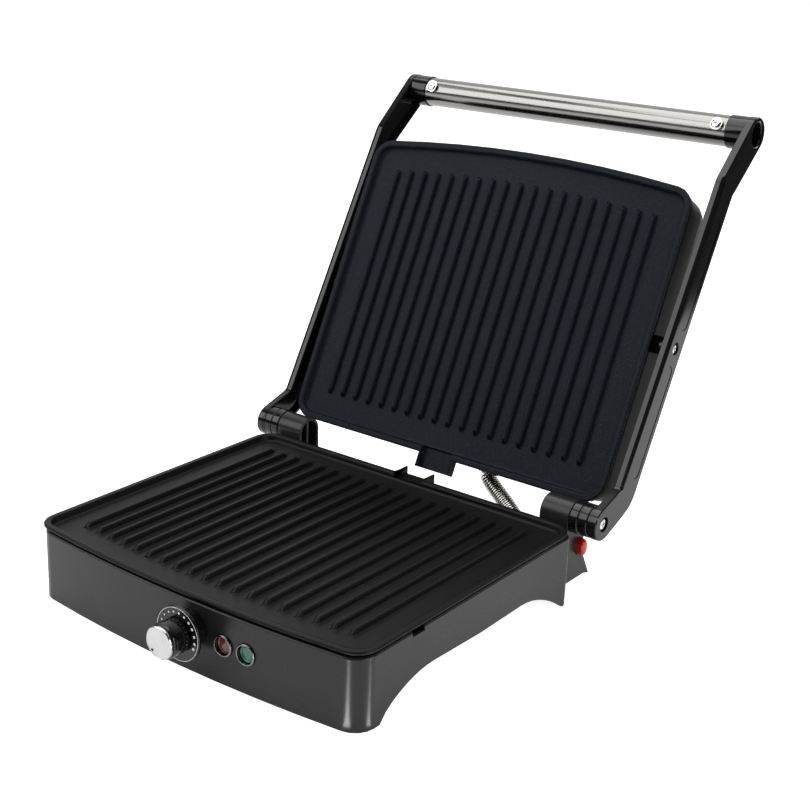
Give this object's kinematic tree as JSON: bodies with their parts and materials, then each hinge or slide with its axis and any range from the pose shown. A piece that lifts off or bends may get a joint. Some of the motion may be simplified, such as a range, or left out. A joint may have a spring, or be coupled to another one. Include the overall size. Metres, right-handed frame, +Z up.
{
  "type": "contact grill",
  "caption": "Tabletop contact grill with two ribbed plates, lid held open on hinged arms, tube handle, thermostat knob and spring wire guard.",
  "frame": {"origin": "middle of the bounding box on the table surface, with the lid open as pictured", "axes": "+Z up, +Y towards the hinge and the open lid, -Y towards the knob, +X to the side with the release button"},
  "size_m": [0.3404, 0.5162, 0.3505],
  "materials": {
    "satin_black_plastic": "satin moulded",
    "matte_black_plastic": "fine texture",
    "gloss_black_plastic": "polished",
    "non_stick_aluminium": "non-stick coated, fine speckle",
    "black_rubber": "matt",
    "brushed_tube_steel": "brushed along its length",
    "spring_steel": "drawn, bright",
    "bright_plated": "bright",
    "spun_aluminium": "spun",
    "sheet_aluminium": "plain sheet",
    "heater_sheath": "dull",
    "thermostat_ceramic": "unglazed",
    "lamp_glass": "clear",
    "red_lens": "clear tinted",
    "green_lens": "clear tinted",
    "red_button": "clear tinted"
  },
  "bodies": {
    "base": {"base_housing": "satin_black_plastic", "bottom_cover": "matte_black_plastic", "foot_front_left": "black_rubber", "foot_front_right": "black_rubber", "foot_rear_left": "black_rubber", "foot_rear_right": "black_rubber", "lower_plate": "non_stick_aluminium", "lower_heater": "heater_sheath", "lower_reflector": "sheet_aluminium", "thermostat": "thermostat_ceramic", "dial_plate": "gloss_black_plastic", "lamp_bezel_heat": "bright_plated", "lamp_bezel_ready": "bright_plated", "lamp_lens_heat": "red_lens", "lamp_lens_ready": "green_lens", "lamp_heat": "lamp_glass", "lamp_ready": "lamp_glass", "cable_gland": "black_rubber", "guard_grommet_base": "matte_black_plastic", "hinge_collar_left": "gloss_black_plastic", "hinge_collar_right": "gloss_black_plastic", "spring_guard": "spring_steel", "guard_core": "black_rubber"},
    "arms": {"arm_left": "gloss_black_plastic", "arm_right": "gloss_black_plastic", "arm_trim_lower_left": "gloss_black_plastic", "arm_trim_lower_right": "gloss_black_plastic", "arm_trim_upper_left": "gloss_black_plastic", "arm_trim_upper_right": "gloss_black_plastic", "hinge_pin_left": "spring_steel", "hinge_pin_right": "spring_steel", "hinge_screw_left": "bright_plated", "hinge_screw_right": "bright_plated", "handle_tube": "brushed_tube_steel", "handle_screw_left": "bright_plated", "handle_screw_right": "bright_plated"},
    "lid": {"lid_housing": "gloss_black_plastic", "lid_frame": "gloss_black_plastic", "upper_plate": "non_stick_aluminium", "upper_heater": "heater_sheath", "upper_reflector": "sheet_aluminium", "pivot_screw_left": "bright_plated", "pivot_screw_right": "bright_plated", "guard_grommet_lid": "matte_black_plastic"},
    "knob": {"knob": "gloss_black_plastic", "knob_cap": "spun_aluminium", "thermostat_shaft": "spring_steel"},
    "button": {"release_button": "red_button"}
  },
  "joints": [
    {"name": "lid_hinge", "type": "hinge", "parent": "base", "child": "arms", "pos_m": [0, 0.04916, 0.0657], "axis": [-1, 0, 0], "range_deg": [-122.32, 50], "deforming": ["spring_guard", "guard_core"]},
    {"name": "lid_float", "type": "hinge", "parent": "arms", "child": "lid", "pos_m": [0, 0.13898, 0.18345], "axis": [-1, 0, 0], "range_deg": [-3.5, 8]},
    {"name": "knob_turn", "type": "hinge", "parent": "base", "child": "knob", "pos_m": [0.0153, -0.22684, 0.035], "axis": [0, 1, 0], "range_deg": [0, 280]},
    {"name": "release_button_press", "type": "slide", "parent": "base", "child": "button", "axis": [-1, 0, 0], "range_m": [0, 0.0035], "stiffness_N_per_m": 300, "springref_m": -0.004}
  ],
  "couplings": [
    {"joint": "lid_float", "follows": "lid_hinge", "ratio": -0.04946}
  ]
}
